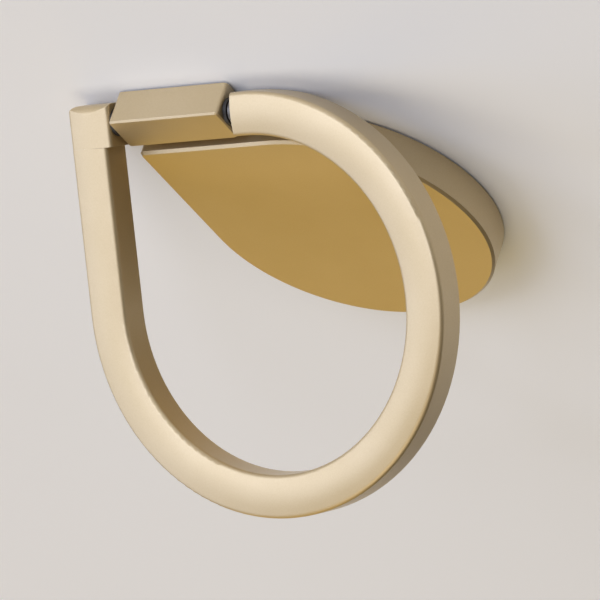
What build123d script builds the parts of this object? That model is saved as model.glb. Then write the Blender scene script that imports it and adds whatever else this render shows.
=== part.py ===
"""Stick-on finger ring and stand: a teardrop base plate and a teardrop ring that folds flat around it.

Millimetres. The origin is the centre of the plate's round, on the surface that the tape sticks to.
+X runs along the hinge, +Y points from the plate to the hinge, +Z points out of the plate.
Every piece is modelled with the ring folded flat, and what turns with the ring is then swung open.
"""
import os

from build123d import *

# Base plate: a round with one square corner, at the hinge
plate_radius = 11.30
plate_corner = 0.40
plate_chamfer = 0.20

# Foam tape in a pocket under the plate
tape_thickness = 0.60
tape_pocket_depth = 0.45
tape_rim = 1.00
tape_play = 0.15
tape_corner = 0.60

# Ring: a bar bent to the plate's outline, flush with its front, with a groove between the two
groove_width = 0.90
ring_lift = 0.35
bar_width = 3.15
bar_thickness = 2.50
bar_crown = 0.20
bar_front_round = 0.35
bar_back_chamfer = 0.25
ring_corner = 0.80
ear_stub = 0.48
ear_round = 0.70
open_angle = 51.0

# Hinge: the pin lies this far in from the ring's outer side and this far above its back
pin_inset = 1.40
knuckle_relief = 0.10
pin_diameter = 1.00
pin_seat = 2.50
pin_recess = 0.10
pin_chamfer = 0.12
pin_running_play = 0.03
pin_press_play = 0.01
pin_hole_spare = 0.20

# Lug on the base plate, between the ring's ear and the end of its top bar
lug_length = 9.70
lug_corner = 0.30
lug_chamfer = 0.12
neck_thickness = 1.00

# Friction stack on the pin: washer at each end of the lug, disc springs at the bar
washer_thickness = 0.30
washer_width = 0.50
spring_thickness = 0.15
spring_height = 0.26
spring_width = 0.45
stack_slack = 0.02
stack_hole_play = 0.05

# Heights above the surface
plate_back = tape_thickness - tape_pocket_depth
plate_front = ring_lift + bar_thickness
hinge_height = ring_lift + pin_inset

# Reaches from the centre of the rounds
ring_inner = plate_radius + groove_width
ring_outer = ring_inner + bar_width
hinge_reach = ring_outer - pin_inset
stack_hole = pin_diameter / 2 + stack_hole_play

# Places along the hinge, from the ear to the end of the top bar
ear_end = -ring_inner + ear_stub
lug_start = ear_end + washer_thickness + stack_slack
lug_end = lug_start + lug_length
bar_washer_start = lug_end + stack_slack
springs_start = bar_washer_start + washer_thickness
bar_end = springs_start + 2 * spring_height + stack_slack
pin_start = -ring_outer + pin_recess
pin_end = bar_end + pin_seat

hinge_axis = Axis((0, hinge_reach, hinge_height), (1, 0, 0))
hinge_plane = Plane(hinge_axis.position, x_dir=(0, 1, 0), z_dir=hinge_axis.direction)
far = 4 * ring_outer


def teardrop(radius, corner):
    """Round of the given radius whose sides run straight out to one square corner, up and left."""
    top = Line((0, radius), (-radius, radius))
    side = Line((-radius, radius), (-radius, 0))
    round_side = CenterArc((0, 0), radius, 180, 270)
    face = make_face([top, side, round_side])
    tip = face.vertices().sort_by_distance((-radius, radius))[0]
    return fillet(tip, corner)


def slab(outline, low, high):
    """The outline as a plate between two heights."""
    return extrude(Pos(0, 0, low) * outline, high - low)


def box_between(low, high):
    """Box from its low corner to its high corner."""
    size = Vector(*high) - Vector(*low)
    return Pos(*low) * Box(size.X, size.Y, size.Z, align=Align.MIN)


def rod(start, end, radius):
    """Round rod on the hinge axis."""
    return extrude(hinge_plane.offset(start) * Circle(radius), end - start)


def make_lug():
    """Block at the hinge, in line with the ring's bar, with its outer edges broken."""
    block = box_between((lug_start, ring_inner, plate_back), (lug_end, ring_outer, plate_front))
    block = fillet(block.edges().filter_by(Axis.Z), lug_corner)
    return chamfer(block.faces().sort_by(Axis.Z)[-1].edges(), lug_chamfer)


def make_base_plate():
    """Plate, neck under the groove, and lug bored for the pin, as one casting."""
    plate = slab(teardrop(plate_radius, plate_corner), plate_back, plate_front)
    plate = chamfer(plate.faces().sort_by(Axis.Z)[-1].edges(), plate_chamfer)
    neck = box_between(
        (lug_start + lug_corner, plate_radius - tape_rim, plate_back),
        (lug_end - lug_corner, hinge_reach, plate_back + neck_thickness),
    )
    pocket = slab(teardrop(plate_radius - tape_rim, tape_corner), plate_back, tape_thickness)
    bore = rod(lug_start - stack_slack, lug_end + stack_slack, pin_diameter / 2 + pin_running_play)
    return plate + neck + make_lug() - pocket - bore


def make_adhesive_pad():
    """Foam tape, cut to the pocket, that stands proud of the plate's back."""
    return slab(teardrop(plate_radius - tape_rim - tape_play, tape_corner), 0, tape_thickness)


def bar_section(inner_side):
    """Section of the ring's bar out to its outer side: crowned front, rounded in front, chamfered behind."""
    back = Line((inner_side, 0), (ring_outer, 0))
    outer = Line((ring_outer, 0), (ring_outer, bar_thickness))
    crest = ((inner_side + ring_outer) / 2, bar_thickness + bar_crown)
    front = ThreePointArc((ring_outer, bar_thickness), crest, (inner_side, bar_thickness))
    inner = Line((inner_side, bar_thickness), (inner_side, 0))
    face = make_face([back, outer, front, inner])
    face = chamfer(face.vertices().group_by(Axis.Y)[0], bar_back_chamfer)
    face = fillet(face.vertices().group_by(Axis.Y)[-1], bar_front_round)
    return Plane.XZ * Pos(0, ring_lift) * face


def make_ear():
    """Square end of the side bar, wider than the bar by its stub, and rounded over at its outer end."""
    section = Pos(0, ring_inner, 0) * Rot(0, 0, 180) * bar_section(-ear_end)
    ear = extrude(section, bar_width, dir=(0, 1, 0))
    crest = bar_thickness + bar_crown
    side_view = Rectangle(ring_outer, crest, align=Align.MIN)
    side_view = fillet(side_view.vertices().sort_by_distance((ring_outer, crest))[0], ear_round)
    ear &= extrude(Plane.YZ * Pos(0, ring_lift) * side_view, far, dir=(-1, 0, 0))
    return ear & slab(teardrop(ring_outer, ring_corner), ring_lift, ring_lift + crest)


def make_ring():
    """Crowned bar round the teardrop, open at the top for the lug, with knuckles and a hole for the pin."""
    at_side = Rot(0, 0, 180) * bar_section(ring_inner)
    at_top = Rot(0, 0, 90) * bar_section(ring_inner)
    round_bar = revolve(at_side, Axis.Z, 270)
    side_bar = extrude(at_side, ring_inner, dir=(0, 1, 0))
    top_bar = extrude(at_top, -ear_end, dir=(-1, 0, 0))
    ring = round_bar + side_bar + top_bar + make_ear()
    ring -= box_between((ear_end, plate_radius, -far), (bar_end, far, far))
    under_pin = box_between((-far, hinge_reach, -far), (far, far, hinge_height))
    ring -= under_pin - rod(-far, far, pin_inset + knuckle_relief)
    return ring - rod(-far, pin_end + pin_hole_spare, pin_diameter / 2 + pin_press_play)


def make_hinge_pin():
    """Plain steel pin with chamfered ends, sunk a little in the ear."""
    pin = rod(pin_start, pin_end, pin_diameter / 2)
    return chamfer(pin.edges().filter_by(GeomType.CIRCLE), pin_chamfer)


def make_washer(start):
    """Flat friction washer on the pin."""
    end = start + washer_thickness
    return rod(start, end, stack_hole + washer_width) - rod(start, end, stack_hole)


def make_disc_spring(start, inner_rim_first):
    """Conical disc on the pin, as high as its cone and its sheet together."""
    rim = stack_hole + spring_width
    cone = spring_height - spring_thickness
    inner_low, outer_low = (0, cone) if inner_rim_first else (cone, 0)
    sheet = Polyline(
        (stack_hole, inner_low),
        (rim, outer_low),
        (rim, outer_low + spring_thickness),
        (stack_hole, inner_low + spring_thickness),
        close=True,
    )
    half_plane = Plane((start, hinge_reach, hinge_height), x_dir=(0, 1, 0), z_dir=(0, 0, -1))
    return revolve(half_plane * make_face(sheet), hinge_axis, 360)


def swing(piece):
    """The piece turned with the ring, from folded flat to its open place."""
    return piece.rotate(hinge_axis, -open_angle)


pieces = {
    "base_plate": make_base_plate(),
    "adhesive_pad": make_adhesive_pad(),
    "ring": swing(make_ring()),
    "hinge_pin": swing(make_hinge_pin()),
    "ear_washer": swing(make_washer(ear_end)),
    "bar_washer": swing(make_washer(bar_washer_start)),
    "disc_spring_inner": swing(make_disc_spring(springs_start, True)),
    "disc_spring_outer": swing(make_disc_spring(springs_start + spring_height, False)),
}

os.makedirs("parts", exist_ok=True)
for name, piece in pieces.items():
    export_step(piece, f"parts/{name}.step")
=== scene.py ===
"""Finishes, light and view for a stick-on finger ring and stand.

Metres, in the part's own frame: the tape sticks to z = 0, and +Y points from the plate to the hinge.
"""
import math

import bpy
from mathutils import Matrix, Vector


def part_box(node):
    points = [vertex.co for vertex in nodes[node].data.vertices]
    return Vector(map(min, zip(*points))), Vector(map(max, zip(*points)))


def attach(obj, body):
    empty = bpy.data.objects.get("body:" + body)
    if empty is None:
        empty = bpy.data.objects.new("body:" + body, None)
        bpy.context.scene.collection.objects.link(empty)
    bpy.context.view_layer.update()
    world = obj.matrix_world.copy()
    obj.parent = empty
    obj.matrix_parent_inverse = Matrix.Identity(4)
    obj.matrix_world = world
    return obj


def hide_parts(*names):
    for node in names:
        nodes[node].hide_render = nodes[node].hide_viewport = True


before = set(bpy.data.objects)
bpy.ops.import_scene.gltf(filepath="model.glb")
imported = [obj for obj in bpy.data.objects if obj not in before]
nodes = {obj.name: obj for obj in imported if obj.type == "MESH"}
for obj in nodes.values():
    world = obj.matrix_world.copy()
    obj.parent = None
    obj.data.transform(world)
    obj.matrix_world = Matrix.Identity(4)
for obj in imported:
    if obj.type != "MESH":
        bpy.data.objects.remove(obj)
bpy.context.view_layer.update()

MM = 0.001

# View: the eye's place, which way is up in the picture, and a long lens that fills the frame with the part
eye_place = Vector((275.2, 324.2, 234.8)) * MM
eye_up = Vector((0.0678, 0.5520, -0.8311))
eye_lens = 400.0
eye_aim = Vector((0.6, 3.0, 10.9)) * MM

# Colours, linear
gold_light = (0.615, 0.49, 0.285)
gold_deep = (0.585, 0.46, 0.255)
# lighter gold at the edges: partly rubbed wear, partly a painted highlight
gold_rubbed_and_highlit = (0.65, 0.54, 0.35)
steel_light = (0.66, 0.65, 0.64)
steel_dark = (0.50, 0.49, 0.48)
spring_light = (0.20, 0.19, 0.18)
spring_dark = (0.11, 0.105, 0.10)
acetal_light = (0.030, 0.028, 0.026)
acetal_dark = (0.016, 0.015, 0.014)
foam_light = (0.075, 0.075, 0.08)
foam_dark = (0.030, 0.030, 0.033)
film_light = (0.11, 0.11, 0.115)
film_dark = (0.08, 0.08, 0.085)
floor_light = (0.90, 0.925, 0.96)
floor_dark = (0.88, 0.905, 0.94)
key_daylight = (0.94, 1.01, 1.25)
overhead_pale = (1.0, 0.86, 0.64)
back_warm = (1.0, 0.66, 0.10)

# Softboxes, all as far from the part: direction, width and height, colour, and brightness, where 1 is white
softbox_distance = 1.50
softboxes = {
    "hinge_key": ((0.0, 0.93, 0.36), (1.20, 1.00), key_daylight, 2.9),
    "corner_key": ((-0.60, 0.71, 0.36), (1.20, 1.00), key_daylight, 1.7),
    "side_key": ((-0.85, 0.10, 0.50), (1.20, 1.20), key_daylight, 1.0),
    "overhead": ((0.0, 0.0, 1.0), (1.40, 1.40), overhead_pale, 1.5),
    "back_fill": ((-0.53, -0.70, 0.48), (1.20, 1.00), back_warm, 0.78),
}
surround_strength = 0.09
floor_width = 8.0

# Roughness, from one end of each finish's pattern to the other
gold_roughness = (0.50, 0.60)
steel_roughness = (0.22, 0.36)
spring_roughness = (0.28, 0.45)
acetal_roughness = (0.42, 0.60)
foam_roughness = (0.95, 0.80)
film_roughness = (0.28, 0.42)
floor_roughness = (0.58, 0.66)

# Sealed oxide skin on the gold
seal_weight = 1.0
seal_roughness = 0.35
seal_index = 1.65

# Sizes of what the finishes show
blast_dimple = 0.11 * MM
dye_cloud = 6.0 * MM
grind_pitch = 0.03 * MM
grind_stretch = 20.0
oil_patch = 0.44 * MM
foam_cell = 0.12 * MM
film_peel = 0.96 * MM
floor_mottle = 72.0 * MM

# Relief: how deep it is, and how strongly it shows on each finish
skin_depth = 0.004 * MM
foam_cell_depth = 0.036 * MM
gold_relief = 0.5
steel_relief = 0.4
acetal_relief = 0.5
foam_relief = 0.8
film_relief = 0.6

# Edges: how wide they are broken, how wide they are worn and lit by a painted highlight, and how far the
# broken normal agrees there and on open faces
edge_break = 0.05 * MM
worn_and_highlit_edge = 0.10 * MM
edge_samples = 6
edge_agreement = (0.90, 0.995)

# Where most of a soft noise and of a foam cell lies, from 0 to 1
noise_span = (0.3, 0.7)
cell_span = (0.1, 0.6)

# Foam tape: a film on each face of a foam core that is drawn in a little at its cut edge
tape_corner = 0.60 * MM
tape_waist = 0.06 * MM
tape_film = 0.06 * MM
tape_steps = 192
tape_layers = 10

# Share of the unit drum's radius within which a point counts as on an axis
rim_margin = 0.001


def plug(tree, socket, value):
    """Gives a socket a value, or links it to another node's output."""
    if isinstance(value, bpy.types.NodeSocket):
        tree.links.new(value, socket)
    elif isinstance(value, tuple) and len(value) == 3 and socket.type == "RGBA":
        socket.default_value = (*value, 1.0)
    else:
        socket.default_value = value


def add_node(tree, kind, settings=None, sockets=None):
    """Node of a kind, with its settings made and its sockets, by name or number, given or linked."""
    node = tree.nodes.new(kind)
    for name, value in (settings or {}).items():
        setattr(node, name, value)
    for name, value in (sockets or {}).items():
        plug(tree, node.inputs[name], value)
    return node


def new_finish(name, metallic):
    """Material with an empty principled shader, its tree and that shader."""
    material = bpy.data.materials.new(name)
    material.use_nodes = True
    shader = material.node_tree.nodes["Principled BSDF"]
    shader.inputs["Metallic"].default_value = metallic
    return material, material.node_tree, shader


def place_on_part(tree, stretch=(1.0, 1.0, 1.0)):
    """The part's own coordinates, stretched if need be."""
    here = add_node(tree, "ShaderNodeTexCoord").outputs["Object"]
    return add_node(tree, "ShaderNodeMapping", sockets={"Vector": here, "Scale": stretch}).outputs["Vector"]


def noise(tree, place, size, detail):
    """Soft noise with patches of a real size."""
    sockets = {"Vector": place, "Scale": 1.0 / size, "Detail": detail}
    return add_node(tree, "ShaderNodeTexNoise", sockets=sockets).outputs["Fac"]


def ramp(tree, amount, low_colour, high_colour, span=noise_span):
    """Colour that runs from one to the other as the amount goes across a span."""
    node = add_node(tree, "ShaderNodeValToRGB", sockets={"Fac": amount})
    first, last = node.color_ramp.elements
    first.position, last.position = span
    first.color = (*low_colour, 1.0)
    last.color = (*high_colour, 1.0)
    return node.outputs["Color"]


def spread(tree, amount, ends, span=noise_span):
    """Number that runs from one end to the other as the amount goes across a span."""
    sockets = {
        "Value": amount,
        "From Min": span[0],
        "From Max": span[1],
        "To Min": ends[0],
        "To Max": ends[1],
    }
    return add_node(tree, "ShaderNodeMapRange", sockets=sockets).outputs["Result"]


def blend_colours(tree, amount, first, second):
    """Mix of two colours."""
    node = add_node(tree, "ShaderNodeMix", {"data_type": "RGBA"}, {"Factor": amount})
    inputs = {socket.identifier: socket for socket in node.inputs}
    outputs = {socket.identifier: socket for socket in node.outputs}
    plug(tree, inputs["A_Color"], first)
    plug(tree, inputs["B_Color"], second)
    return outputs["Result_Color"]


def soft_edges(tree, radius):
    """Normal with every edge broken by a small radius."""
    return add_node(tree, "ShaderNodeBevel", {"samples": edge_samples}, {"Radius": radius}).outputs["Normal"]


def edge_mask(tree, radius):
    """One along the edges within a radius, and nought on the open faces."""
    rounded = soft_edges(tree, radius)
    flat = add_node(tree, "ShaderNodeNewGeometry").outputs["Normal"]
    agree = add_node(tree, "ShaderNodeVectorMath", {"operation": "DOT_PRODUCT"}, {0: rounded, 1: flat})
    return spread(tree, agree.outputs["Value"], (1.0, 0.0), edge_agreement)


def bump(tree, height, depth, strength, normal=None):
    """Normal with a height of a real depth pressed into it."""
    sockets = {"Height": height, "Distance": depth, "Strength": strength}
    if normal:
        sockets["Normal"] = normal
    return add_node(tree, "ShaderNodeBump", sockets=sockets).outputs["Normal"]


def make_anodised_gold():
    """Bead-blasted, dyed and sealed aluminium: fine dimples, faint clouds, edges lighter, partly rubbed wear
    and partly a painted highlight.
    """
    material, tree, shader = new_finish("anodised_gold", 1.0)
    place = place_on_part(tree)
    clouds = noise(tree, place, dye_cloud, detail=3.0)
    grain = noise(tree, place, blast_dimple, detail=2.0)
    dye = ramp(tree, clouds, gold_deep, gold_light)
    # edges lighter: partly rubbed wear, partly a painted highlight along them
    edges = edge_mask(tree, worn_and_highlit_edge)
    colour = blend_colours(tree, edges, dye, gold_rubbed_and_highlit)
    dimples = bump(tree, grain, skin_depth, gold_relief, soft_edges(tree, edge_break))
    plug(tree, shader.inputs["Base Color"], colour)
    plug(tree, shader.inputs["Roughness"], spread(tree, grain, gold_roughness))
    plug(tree, shader.inputs["Normal"], dimples)
    shader.inputs["Coat Weight"].default_value = seal_weight
    shader.inputs["Coat Roughness"].default_value = seal_roughness
    shader.inputs["Coat IOR"].default_value = seal_index
    return material


def make_ground_steel():
    """Pin steel, ground round and round."""
    material, tree, shader = new_finish("ground_steel", 1.0)
    place = place_on_part(tree, (grind_stretch, 1.0, 1.0))
    lines = noise(tree, place, grind_stretch * grind_pitch, detail=3.0)
    relief = bump(tree, lines, skin_depth, steel_relief, soft_edges(tree, edge_break))
    plug(tree, shader.inputs["Base Color"], ramp(tree, lines, steel_dark, steel_light))
    plug(tree, shader.inputs["Roughness"], spread(tree, lines, steel_roughness))
    plug(tree, shader.inputs["Normal"], relief)
    return material


def make_spring_steel():
    """Oiled dark spring steel, tumbled."""
    material, tree, shader = new_finish("oiled_spring_steel", 1.0)
    place = place_on_part(tree)
    oil = noise(tree, place, oil_patch, detail=4.0)
    relief = bump(tree, oil, skin_depth, steel_relief, soft_edges(tree, edge_break))
    plug(tree, shader.inputs["Base Color"], ramp(tree, oil, spring_dark, spring_light))
    plug(tree, shader.inputs["Roughness"], spread(tree, oil, spring_roughness))
    plug(tree, shader.inputs["Normal"], relief)
    return material


def make_black_acetal():
    """Moulded black acetal with a fine matt skin."""
    material, tree, shader = new_finish("black_acetal", 0.0)
    place = place_on_part(tree)
    skin = noise(tree, place, blast_dimple, detail=3.0)
    relief = bump(tree, skin, skin_depth, acetal_relief, soft_edges(tree, edge_break))
    plug(tree, shader.inputs["Base Color"], ramp(tree, skin, acetal_dark, acetal_light))
    plug(tree, shader.inputs["Roughness"], spread(tree, skin, acetal_roughness))
    plug(tree, shader.inputs["Normal"], relief)
    return material


def make_tape_foam():
    """Closed-cell foam, cut through at the edge."""
    material, tree, shader = new_finish("tape_foam", 0.0)
    place = place_on_part(tree)
    cells = add_node(tree, "ShaderNodeTexVoronoi", sockets={"Vector": place, "Scale": 1.0 / foam_cell})
    depth = cells.outputs["Distance"]
    plug(tree, shader.inputs["Base Color"], ramp(tree, depth, foam_dark, foam_light, cell_span))
    plug(tree, shader.inputs["Roughness"], spread(tree, depth, foam_roughness))
    plug(tree, shader.inputs["Normal"], bump(tree, depth, foam_cell_depth, foam_relief))
    return material


def make_tape_film():
    """Tacky acrylic film, smooth with a faint orange peel."""
    material, tree, shader = new_finish("tape_film", 0.0)
    place = place_on_part(tree)
    peel = noise(tree, place, film_peel, detail=2.0)
    plug(tree, shader.inputs["Base Color"], ramp(tree, peel, film_dark, film_light))
    plug(tree, shader.inputs["Roughness"], spread(tree, peel, film_roughness))
    plug(tree, shader.inputs["Normal"], bump(tree, peel, skin_depth, film_relief))
    return material


def make_pale_floor():
    """Pale satin board with a faint mottle."""
    material, tree, shader = new_finish("pale_floor", 0.0)
    place = place_on_part(tree)
    mottle = noise(tree, place, floor_mottle, detail=3.0)
    plug(tree, shader.inputs["Base Color"], ramp(tree, mottle, floor_dark, floor_light))
    plug(tree, shader.inputs["Roughness"], spread(tree, mottle, floor_roughness))
    return material


def tree_inputs(tree, sizes):
    """Named inputs of a geometry tree, by name, with the identifier that a modifier sets each by."""
    kinds = {float: "NodeSocketFloat", int: "NodeSocketInt"}
    names = {}
    for name, value in sizes.items():
        socket = tree.interface.new_socket(name, in_out="INPUT", socket_type=kinds[type(value)])
        names[name] = socket.identifier
    return names


def number(tree, operation, first, second=0.0):
    """Sum, product or the like of two numbers."""
    node = add_node(tree, "ShaderNodeMath", {"operation": operation}, {0: first, 1: second})
    return node.outputs["Value"]


def choose(tree, question, when_false, when_true):
    """One of two numbers, by the answer to a question."""
    sockets = {"Switch": question, "False": when_false, "True": when_true}
    return add_node(tree, "GeometryNodeSwitch", {"input_type": "FLOAT"}, sockets).outputs["Output"]


def compare(tree, operation, first, second):
    """Whether one number is less or greater than another."""
    sockets = {"A": first, "B": second}
    return add_node(tree, "FunctionNodeCompare", {"operation": operation}, sockets).outputs["Result"]


def both(tree, first, second):
    """Whether the answers to two questions are both yes."""
    node = add_node(tree, "FunctionNodeBooleanMath", {"operation": "AND"}, {0: first, 1: second})
    return node.outputs["Boolean"]


def tape_rim_place(tree, radius, corner, thickness, waist):
    """Where a point of a unit drum goes on the tape: round, with one square corner, up and left."""
    here = add_node(tree, "GeometryNodeInputPosition").outputs["Position"]
    x, y, z = add_node(tree, "ShaderNodeSeparateXYZ", sockets={"Vector": here}).outputs
    leftward = compare(tree, "LESS_THAN", x, -rim_margin)
    upward = compare(tree, "GREATER_THAN", y, rim_margin)
    at_corner = both(tree, leftward, upward)
    straight = number(tree, "SUBTRACT", radius, corner)
    shift = choose(tree, at_corner, 0.0, straight)
    half = number(tree, "MULTIPLY", thickness, 0.5)
    from_middle = number(tree, "DIVIDE", z, half)
    bulge = number(tree, "MULTIPLY", waist, number(tree, "POWER", from_middle, 2.0))
    drawn_in = number(tree, "SUBTRACT", waist, bulge)
    reach = number(tree, "SUBTRACT", choose(tree, at_corner, radius, corner), drawn_in)
    across = number(tree, "SUBTRACT", number(tree, "MULTIPLY", x, reach), shift)
    along = number(tree, "ADD", number(tree, "MULTIPLY", y, reach), shift)
    height = number(tree, "ADD", z, half)
    return add_node(tree, "ShaderNodeCombineXYZ", sockets={0: across, 1: along, 2: height}).outputs["Vector"]


def make_tape_tree(sizes):
    """Geometry tree of the foam tape: a teardrop drum with film on its faces and foam between."""
    tree = bpy.data.node_groups.new("foam_tape", "GeometryNodeTree")
    names = tree_inputs(tree, sizes)
    tree.interface.new_socket("Tape", in_out="OUTPUT", socket_type="NodeSocketGeometry")
    given = add_node(tree, "NodeGroupInput").outputs
    drum_sockets = {
        "Vertices": given["Steps"],
        "Side Segments": given["Layers"],
        "Radius": 1.0,
        "Depth": given["Thickness"],
    }
    drum = add_node(tree, "GeometryNodeMeshCylinder", sockets=drum_sockets)
    smooth_rim = {"Geometry": drum.outputs["Mesh"], "Selection": drum.outputs["Side"]}
    drum_smooth = add_node(tree, "GeometryNodeSetShadeSmooth", sockets=smooth_rim)
    place = tape_rim_place(tree, given["Radius"], given["Corner"], given["Thickness"], given["Waist"])
    shaped_sockets = {"Geometry": drum_smooth.outputs["Geometry"], "Position": place}
    shaped = add_node(tree, "GeometryNodeSetPosition", sockets=shaped_sockets)
    solid = add_node(tree, "GeometryNodeRealizeInstances", sockets={"Geometry": shaped.outputs["Geometry"]})
    foam_sockets = {"Geometry": solid.outputs["Geometry"], "Material": make_tape_foam()}
    foam = add_node(tree, "GeometryNodeSetMaterial", sockets=foam_sockets)
    middle = number(tree, "MULTIPLY", given["Thickness"], 0.5)
    here = add_node(tree, "GeometryNodeInputPosition").outputs["Position"]
    height = add_node(tree, "ShaderNodeSeparateXYZ", sockets={"Vector": here}).outputs["Z"]
    from_middle = number(tree, "ABSOLUTE", number(tree, "SUBTRACT", height, middle))
    in_film = compare(tree, "GREATER_THAN", from_middle, number(tree, "SUBTRACT", middle, given["Film"]))
    film_sockets = {"Geometry": foam.outputs["Geometry"], "Selection": in_film, "Material": make_tape_film()}
    film = add_node(tree, "GeometryNodeSetMaterial", sockets=film_sockets)
    add_node(tree, "NodeGroupOutput", sockets={"Tape": film.outputs["Geometry"]})
    return tree, names


def make_foam_tape():
    """Foam tape under the plate, in place of its plain solid."""
    low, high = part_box("adhesive_pad")
    sizes = {
        "Radius": high[0],
        "Corner": tape_corner,
        "Thickness": high[2] - low[2],
        "Waist": tape_waist,
        "Film": tape_film,
        "Steps": tape_steps,
        "Layers": tape_layers,
    }
    tree, names = make_tape_tree(sizes)
    blank = bpy.data.objects.new("tape_blank", bpy.data.meshes.new("tape_blank"))
    bpy.context.scene.collection.objects.link(blank)
    shaping = blank.modifiers.new("foam_tape", "NODES")
    shaping.node_group = tree
    for name, value in sizes.items():
        shaping[names[name]] = value
    shaped = blank.evaluated_get(bpy.context.evaluated_depsgraph_get())
    tape = bpy.data.objects.new("foam_tape", bpy.data.meshes.new_from_object(shaped))
    bpy.data.objects.remove(blank)
    bpy.context.scene.collection.objects.link(tape)
    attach(tape, "base")
    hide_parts("adhesive_pad")


def give(node, material):
    """The node's own mesh takes a finish."""
    slots = nodes[node].data.materials
    slots.clear()
    slots.append(material)


def make_softbox(name, direction, box, colour, brightness):
    """Soft light that faces the part from a direction."""
    lamp = bpy.data.lights.new(name, "AREA")
    lamp.shape = "RECTANGLE"
    lamp.size, lamp.size_y = box
    lamp.color = colour
    lamp.energy = brightness * math.pi * lamp.size * lamp.size_y
    obj = bpy.data.objects.new(name, lamp)
    towards = Vector(direction).normalized()
    obj.location = towards * softbox_distance
    obj.rotation_euler = (-towards).to_track_quat("-Z", "Y").to_euler()
    bpy.context.scene.collection.objects.link(obj)


def make_light():
    """Low daylight keys from the hinge side, a pale box overhead, a warm one behind, a dim surround."""
    for name, (direction, box, colour, brightness) in softboxes.items():
        make_softbox(name, direction, box, colour, brightness)
    world = bpy.data.worlds.new("surround")
    world.use_nodes = True
    background = world.node_tree.nodes["Background"]
    background.inputs["Color"].default_value = (*overhead_pale, 1.0)
    background.inputs["Strength"].default_value = surround_strength
    bpy.context.scene.world = world


def make_floor():
    """Wide pale floor that the tape's face lies on."""
    bpy.ops.mesh.primitive_plane_add(size=floor_width, location=(0, 0, 0))
    floor = bpy.context.object
    floor.name = "floor"
    floor.data.materials.append(make_pale_floor())


def make_camera():
    """Camera at the eye's place, turned so that the picture's up is the eye's up."""
    camera = bpy.data.cameras.new("eye")
    camera.lens = eye_lens
    obj = bpy.data.objects.new("eye", camera)
    back = (eye_place - eye_aim).normalized()
    right = eye_up.cross(back).normalized()
    up = back.cross(right)
    turn = Matrix((right, up, back)).transposed().to_4x4()
    obj.matrix_world = Matrix.Translation(eye_place) @ turn
    bpy.context.scene.collection.objects.link(obj)
    bpy.context.scene.camera = obj


gold = make_anodised_gold()
acetal = make_black_acetal()
spring = make_spring_steel()
give("base_plate", gold)
give("ring", gold)
give("hinge_pin", make_ground_steel())
give("ear_washer", acetal)
give("bar_washer", acetal)
give("disc_spring_inner", spring)
give("disc_spring_outer", spring)
make_foam_tape()
make_floor()
make_light()
make_camera()
bpy.context.scene.view_settings.view_transform = "Standard"
